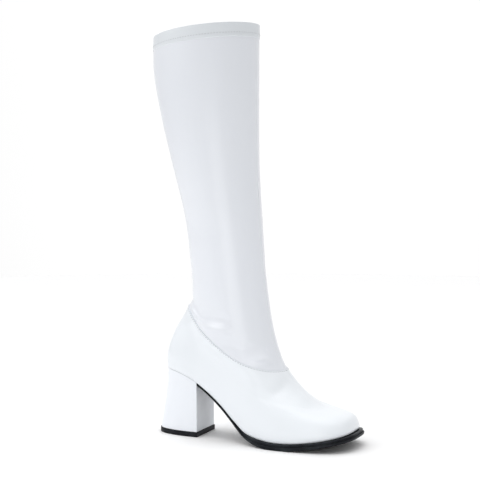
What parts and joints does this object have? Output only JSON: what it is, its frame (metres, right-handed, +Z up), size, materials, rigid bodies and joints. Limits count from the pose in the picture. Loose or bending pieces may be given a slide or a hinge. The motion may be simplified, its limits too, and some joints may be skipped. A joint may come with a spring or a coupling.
{
  "type": "go go boot",
  "caption": "Knee-high white boot for the right foot with a folded hem, a curved ankle seam, a blunt rounded toe, a covered block heel and a thin black sole.",
  "frame": {"origin": "under the middle of the boot's box, on the floor", "axes": "+X toward the toe, +Y toward the inner side of the right foot, +Z up the shaft"},
  "size_m": [0.2417, 0.103, 0.4559],
  "materials": {
    "leatherette": "smooth white leatherette, glossy",
    "sock": "woven lining, matte",
    "welt": "black, half matte",
    "sole": "black, half matte",
    "heel_cover": "smooth white leatherette over a block, glossy",
    "top_piece": "black, half matte"
  },
  "bodies": {
    "root": {"upper": "leatherette", "insole": "sock", "welt": "welt", "outsole": "sole", "heel": "heel_cover", "top_piece": "top_piece"}
  },
  "joints": []
}
